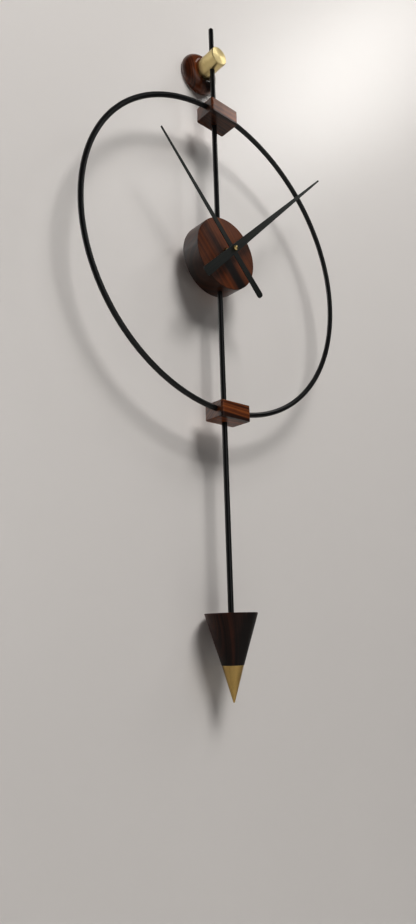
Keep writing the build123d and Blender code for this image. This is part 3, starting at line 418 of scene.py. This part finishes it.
# ------------------------------------------------------------------ inside the movement
def plastic(name, base, rough, coat=0.0):
    """Moulded plastic: fine spark-eroded texture, slight tone drift, paler edges."""
    g = Graph(name)
    skin = g.noise(g.coords, 1800.0, 3.0, 0.55)
    cloud = g.noise(g.coords, 60.0, 4.0, 0.6)
    colour = g.mix(g.band(cloud, 0.3, 0.75), toned(base, 0.82), toned(base, 1.12))
    colour = g.mix(g.edge_mask(0.0004, 0.45), colour, toned(base, 1.5, 0.01))
    g.set(
        Base_Color=colour,
        Roughness=g.scaled(skin, 0.22, rough - 0.1),
        Normal=g.bump(skin, 0.00003, 0.5),
        Coat_Weight=coat,
    )
    return g.mat


def board_mask(name):
    """Green solder mask over copper tracks, with tinned pads."""
    g = Graph(name)
    track = g.band(g.voronoi(g.coords, 520.0, "DISTANCE_TO_EDGE"), 0.06, 0.12, 1.0, 0.0)
    pads = g.band(g.voronoi(g.coords, 330.0), 0.16, 0.20, 1.0, 0.0)
    colour = g.mix(g.times(track, 0.6), (0.010, 0.10, 0.035), (0.03, 0.22, 0.08))
    colour = g.mix(pads, colour, (0.62, 0.60, 0.55))
    g.set(
        Base_Color=colour,
        Metallic=g.times(pads, 0.8),
        Roughness=g.scaled(g.noise(g.coords, 800.0), 0.2, 0.22),
        Normal=g.bump(g.plus(track, pads), 0.00003, 0.6),
    )
    return g.mat


def copper_coil(name):
    """Enamelled wire wound round X, drawn as close turns."""
    wire = 0.0003
    g = Graph(name)
    x = g.split(g.coords)[0]
    turns = g.calc("SINE", g.times(x, 2 * math.pi / wire))
    tone = g.noise(g.coords, 300.0, 3.0)
    g.set(
        Base_Color=g.mix(tone, (0.36, 0.11, 0.03), (0.62, 0.24, 0.08)),
        Metallic=1.0,
        Roughness=g.scaled(tone, 0.2, 0.28),
        Normal=g.bump(turns, 0.00008, 0.9),
    )
    return g.mat


def battery_sleeve(name):
    """Plain two-tone sleeve with bare metal ends, no print."""
    low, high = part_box("battery")
    minus_x, plus_x = low[0], high[0]
    g = Graph(name)
    x = g.split(g.coords)[0]
    scuffs = g.noise(g.coords, 260.0, 4.0, 0.6)
    gold = g.band(x, plus_x - 0.0172, plus_x - 0.0168)
    plus_end = g.band(x, plus_x - 0.0016, plus_x - 0.0012)
    minus_end = g.band(x, minus_x + 0.0008, minus_x + 0.0012, 1, 0)
    metal = g.calc("MAXIMUM", plus_end, minus_end)
    colour = g.mix(gold, (0.030, 0.032, 0.036), (0.55, 0.33, 0.12))
    colour = g.mix(metal, colour, (0.62, 0.61, 0.58))
    colour = g.mix(g.times(g.band(scuffs, 0.62, 0.75), 0.3), colour, (0.35, 0.35, 0.34))
    g.set(
        Base_Color=colour,
        Metallic=g.calc("MAXIMUM", metal, g.times(gold, 0.7)),
        Roughness=g.scaled(scuffs, 0.18, 0.22),
        Normal=g.bump(scuffs, 0.00002, 0.4),
        Coat_Weight=0.3,
    )
    return g.mat


# ------------------------------------------------------------------ wooden pieces
def about_y(degrees):
    """A board turned about Y; at 90 its X is the row frame's Z and its grain runs along -X."""
    return (0.0, math.radians(degrees), 0.0)


HUB_GRAIN = 40                    # degrees from upright
hub = centre_of("hub_body")
hub_shift = (-hub.z * math.sin(math.radians(HUB_GRAIN)), 0.0, -hub.z * math.cos(math.radians(HUB_GRAIN)))
hub_wood = ((0.135, 0.038, 0.0115), (0.048, 0.0130, 0.0042), (0.0046, 0.0018, 0.0013))
# Painted shade: the hub's round side is drawn at 0.42 of its tone.
dress(wood("walnut_hub", hub_wood, about_y(HUB_GRAIN), hub_shift, pith=(0.13, 0.03), lines=0.42,
           dark_streak=(-0.006, -0.046, 0.0100, -0.015, 0.020), shade=(1, 0.42, 1.0)), "hub_body")

lower = Vector(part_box("bottom_block")[0])
lower_wood = ((0.23, 0.072, 0.020), (0.105, 0.029, 0.009), (0.010, 0.0035, 0.0026))
# Painted shade: the end faces, which look along X, are drawn at 0.55 of their tone.
dress(wood("walnut_bottom_block", lower_wood, about_y(87.5), pith=(-0.40, 0.02),
           dark_streak=(lower.z + 0.0005, lower.y + 0.001, 0.0052, *ALL_LENGTH), shade=(0, 1.0, 0.55)),
      "bottom_block")

upper = Vector(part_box("top_block")[0])
upper_wood = ((0.27, 0.095, 0.034), (0.105, 0.032, 0.012), (0.012, 0.0045, 0.003))
# Painted light and shade: the front and back faces are drawn 1.5 times lighter and the other faces at 0.8
# of their tone.
dress(wood("walnut_top_block", upper_wood, about_y(90), pith=(-0.02, 0.06), lines=0.6, coat=0.6,
           dark_streak=(upper.z, upper.y + 0.001, 0.0036, *ALL_LENGTH), shade=(1, 0.8, 1.5)), "top_block")

rosette_wood = ((0.19, 0.052, 0.014), (0.046, 0.0115, 0.0036), (0.0026, 0.0012, 0.0010))
# Painted shade: the dark streak darkens the lower middle of the rosette's dome.
dress(wood("rosette_wood", rosette_wood, about_y(15), pith=(-0.10, 0.0), lines=0.4, gloss=0.22, coat=0.7,
           dark_streak=(0.004, -0.02, 0.013, -0.004, 0.012)), "wall_rosette")

cone_wood = ((0.058, 0.015, 0.006), (0.018, 0.0052, 0.0028), (0.0032, 0.0013, 0.0010))
# Painted shade: the dark streak darkens the front of the cone down its whole length, leaving paler flanks.
dress(wood("cone_wood", cone_wood, about_y(0), pith=(-0.03, -0.03), lines=0.7, gloss=0.42, coat=0.15,
           dark_streak=(0.004, -0.052, 0.016, *ALL_LENGTH)), "cone_body")

# ------------------------------------------------------------------ metal pieces
dress(turned_brass("brass_peg", centre_of("brass_peg"), "Y", (0.68, 0.56, 0.29), (0.42, 0.32, 0.15)),
      "brass_peg")
dress(turned_brass("brass_cone_tip", centre_of("cone_body"), "Z", (0.46, 0.32, 0.125), (0.24, 0.155, 0.055),
                   rough=0.17, stain=0.22), "cone_tip")
dress(turned_brass("brass_fittings", hub, "Y", (0.72, 0.56, 0.26), (0.50, 0.38, 0.16),
                   rough=0.22, lathe=0.0001), "cap_nut", "bushing_nut", "centre_wheel", "minute_arbor")
dress(enamel("black_enamel"), "upper_rod", "lower_rod", "ring_half_left", "ring_half_right")
dress(brushed("hour_hand_metal", 42.4), "hour_hand")
dress(brushed("minute_hand_metal", -45.4), "minute_hand")
dress(worn_metal("black_screws", (0.05, 0.05, 0.052), 0.4),
      "peg_set_screw", "block_set_screws", "hub_set_screws")
dress(worn_metal("brass_thread", (0.66, 0.51, 0.24), 0.3, centre=hub, pitch=0.00075), "bushing")

# ------------------------------------------------------------------ movement pieces
dress(worn_metal("stamped_core", (0.40, 0.40, 0.41), 0.4), "stator", "coil_core")
dress(worn_metal("nickel_contacts", (0.66, 0.65, 0.61), 0.26), "contact_positive", "contact_negative")
dress(worn_metal("crystal_can", (0.74, 0.74, 0.75), 0.22), "quartz_crystal")
dress(worn_metal("ferrite", (0.06, 0.06, 0.062), 0.5), "rotor")
dress(plastic("case_plastic", (0.013, 0.013, 0.014), 0.48), "movement_case", "movement_cover")
dress(plastic("acetal", (0.72, 0.71, 0.66), 0.38), "middle_plate", "hour_wheel", "motion_wheel",
      "third_wheel", "seconds_wheel", "fifth_wheel", "set_knob")
dress(plastic("washer_rubber", (0.016, 0.016, 0.016), 0.75), "rubber_washer")
dress(plastic("chip_epoxy", (0.010, 0.010, 0.011), 0.3, coat=0.4), "driver_chip")
dress(board_mask("circuit_board"), "circuit_board")
dress(copper_coil("copper_coil"), "coil")
dress(battery_sleeve("battery_sleeve"), "battery")


# ------------------------------------------------------------------ the wall stud's threads
FACETS = 36
ROW_STEP = 0.00020
MACHINE_THREAD = (0.0010, 0.00055, 1.0)       # pitch, depth, share of the pitch that rises and falls
WOOD_THREAD = (0.0024, 0.00070, 0.55)
WOOD_UNDERSIZE = 0.00025                      # the wood end's radius is that much less
POINT = 0.005
BLUNT = 0.06                                  # the point's end, as a share of the radius
RUN_OUT_FRONT, RUN_OUT_WALL = 0.0008, 0.0012  # the thread fades over these at the end and at the wall


def ridge_at(turns, share):
    """1 on a thread's crest, falling to 0 at its root."""
    off = abs((turns % 1.0) - 0.5) * 2
    return max(0.0, 1.0 - off / share)


def stud_loop(mesh, y, low, high):
    """The ring of points round the stud at one y: machine thread in the peg, wood thread in the wall."""
    full = (high.x - low.x) / 2
    if y > 0.0:
        pitch, depth, share = WOOD_THREAD
        outer = full - WOOD_UNDERSIZE
        taper = max(min(1.0, (high.y - y) / POINT), BLUNT)
    else:
        pitch, depth, share = MACHINE_THREAD
        outer = full
        taper = 1.0
    fade = min(1.0, (y - low.y) / RUN_OUT_FRONT, abs(y) / RUN_OUT_WALL)
    loop = []
    for k in range(FACETS):
        a = 2 * math.pi * k / FACETS
        ridge = ridge_at(y / pitch + k / FACETS, share) * fade
        r = (outer - depth * (1 - ridge)) * taper
        loop.append(mesh.verts.new((r * math.cos(a), y, r * math.sin(a))))
    return loop


def hanger_bolt(material):
    low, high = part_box("wall_stud")
    length = high.y - low.y
    rows = int(length / ROW_STEP)
    mesh = bmesh.new()
    loops = [stud_loop(mesh, low.y + length * i / rows, low, high) for i in range(rows + 1)]
    for one, two in zip(loops, loops[1:]):
        for k in range(FACETS):
            n = (k + 1) % FACETS
            mesh.faces.new((one[k], one[n], two[n], two[k]))
    mesh.faces.new(loops[0][::-1])
    mesh.faces.new(loops[-1])
    bmesh.ops.recalc_face_normals(mesh, faces=mesh.faces)
    data = bpy.data.meshes.new("hanger_bolt")
    mesh.to_mesh(data)
    mesh.free()
    data.materials.append(material)
    data.shade_smooth()
    bolt = bpy.data.objects.new("hanger_bolt", data)
    scene.collection.objects.link(bolt)
    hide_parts("wall_stud")
    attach(bolt, "frame")


hanger_bolt(worn_metal("zinc_stud", (0.58, 0.58, 0.60), 0.34))


# ------------------------------------------------------------------ stage
def sheet_mesh(name, corners):
    mesh = bpy.data.meshes.new(name)
    mesh.from_pydata(corners, [], [(0, 1, 2, 3)])
    obj = bpy.data.objects.new(name, mesh)
    scene.collection.objects.link(obj)
    return obj


def paint(name, tone, rough):
    g = Graph(name)
    cloud = g.noise(g.coords, 3.0, 4.0, 0.55)
    fine = g.noise(g.coords, 260.0, 3.0)
    base = g.mix(g.band(cloud, 0.3, 0.7), toned(tone, 0.985), tone)
    g.set(Base_Color=base, Roughness=rough, Normal=g.bump(fine, 0.00006, 0.1))
    return g


def one_sided(g):
    """Lets the views from behind and the light from behind through the wall."""
    clear = g.add("BsdfTransparent")
    mixer = g.add("MixShader")
    back = g.add("NewGeometry").outputs["Backfacing"]
    shadow = g.add("LightPath").outputs["Is Shadow Ray"]
    g.tree.links.new(g.calc("MAXIMUM", back, shadow), mixer.inputs[0])
    g.tree.links.new(g.shader.outputs[0], mixer.inputs[1])
    g.tree.links.new(clear.outputs[0], mixer.inputs[2])
    g.tree.links.new(mixer.outputs[0], g.out.inputs[0])


ROOM = 4                          # half the room's width and depth
FLOOR_Z = -1.75
WALL_TOP = 2.6
wall = sheet_mesh("wall", [(-ROOM, 0, FLOOR_Z), (ROOM, 0, FLOOR_Z), (ROOM, 0, WALL_TOP),
                           (-ROOM, 0, WALL_TOP)])
wall_paint = paint("wall_paint", (0.66, 0.635, 0.62), 0.33)
one_sided(wall_paint)
wall.data.materials.append(wall_paint.mat)
floor = sheet_mesh("floor", [(-ROOM, -ROOM, FLOOR_Z), (ROOM, -ROOM, FLOOR_Z), (ROOM, ROOM, FLOOR_Z),
                             (-ROOM, ROOM, FLOOR_Z)])
floor.data.materials.append(paint("floor_paint", (0.60, 0.59, 0.575), 0.5).mat)

# ------------------------------------------------------------------ light
WARM = (1.0, 0.985, 0.96)
CEILING = (1.0, 0.99, 0.97)


def area(name, at, target, size, watts, tint=(1, 1, 1)):
    light = bpy.data.lights.new(name, "AREA")
    light.shape = "RECTANGLE"
    light.size, light.size_y = size
    light.energy = watts
    light.color = tint
    obj = bpy.data.objects.new(name, light)
    scene.collection.objects.link(obj)
    obj.location = at
    obj.rotation_mode = "QUATERNION"
    obj.rotation_quaternion = (Vector(at) - Vector(target)).to_track_quat("Z", "Y")
    return obj


# Two lights stand for a wide soft ceiling, so nothing mirrors them as a hot spot.
key = area("key", (-0.17, -2.6, 2.0), (0.0, 0.0, -0.45), (1.45, 1.0), 70, WARM)
key.visible_glossy = False
overhead = area("overhead", (0.1, -2.4, 3.0), (0.0, 0.0, -0.9), (2.0, 1.3), 47, CEILING)
overhead.visible_glossy = False
# The card only gives the brass something pale to mirror; the glow is the lamp's sheen on the wall.
card = area("card", (0.0, -3.0, 0.1), (0.0, 0.0, -0.3), (2.4, 2.4), 16)
card.visible_diffuse = False
area("glow", (1.85, -1.3, 1.85), (0.15, 0.0, 0.0), (0.85, 0.6), 8.5, WARM)
area("behind", (-1.3, 2.4, 0.9), (0.0, 0.0, -0.35), (1.8, 1.8), 46)

# The camera sees a pale backdrop past the wall, while the pieces reflect a dim room.
world = bpy.data.worlds.new("studio")
scene.world = world
world.use_nodes = True
sky = world.node_tree
room = sky.nodes["Background"]
room.inputs["Color"].default_value = (0.80, 0.82, 0.85, 1)
room.inputs["Strength"].default_value = 0.07
backdrop = sky.nodes.new("ShaderNodeBackground")
backdrop.inputs["Color"].default_value = (0.62, 0.61, 0.60, 1)
backdrop.inputs["Strength"].default_value = 0.7
seen = sky.nodes.new("ShaderNodeMixShader")
sky.links.new(sky.nodes.new("ShaderNodeLightPath").outputs["Is Camera Ray"], seen.inputs[0])
sky.links.new(room.outputs[0], seen.inputs[1])
sky.links.new(backdrop.outputs[0], seen.inputs[2])
sky.links.new(seen.outputs[0], sky.nodes["World Output"].inputs[0])
scene.view_settings.view_transform = "Standard"
scene.view_settings.look = "Medium High Contrast"
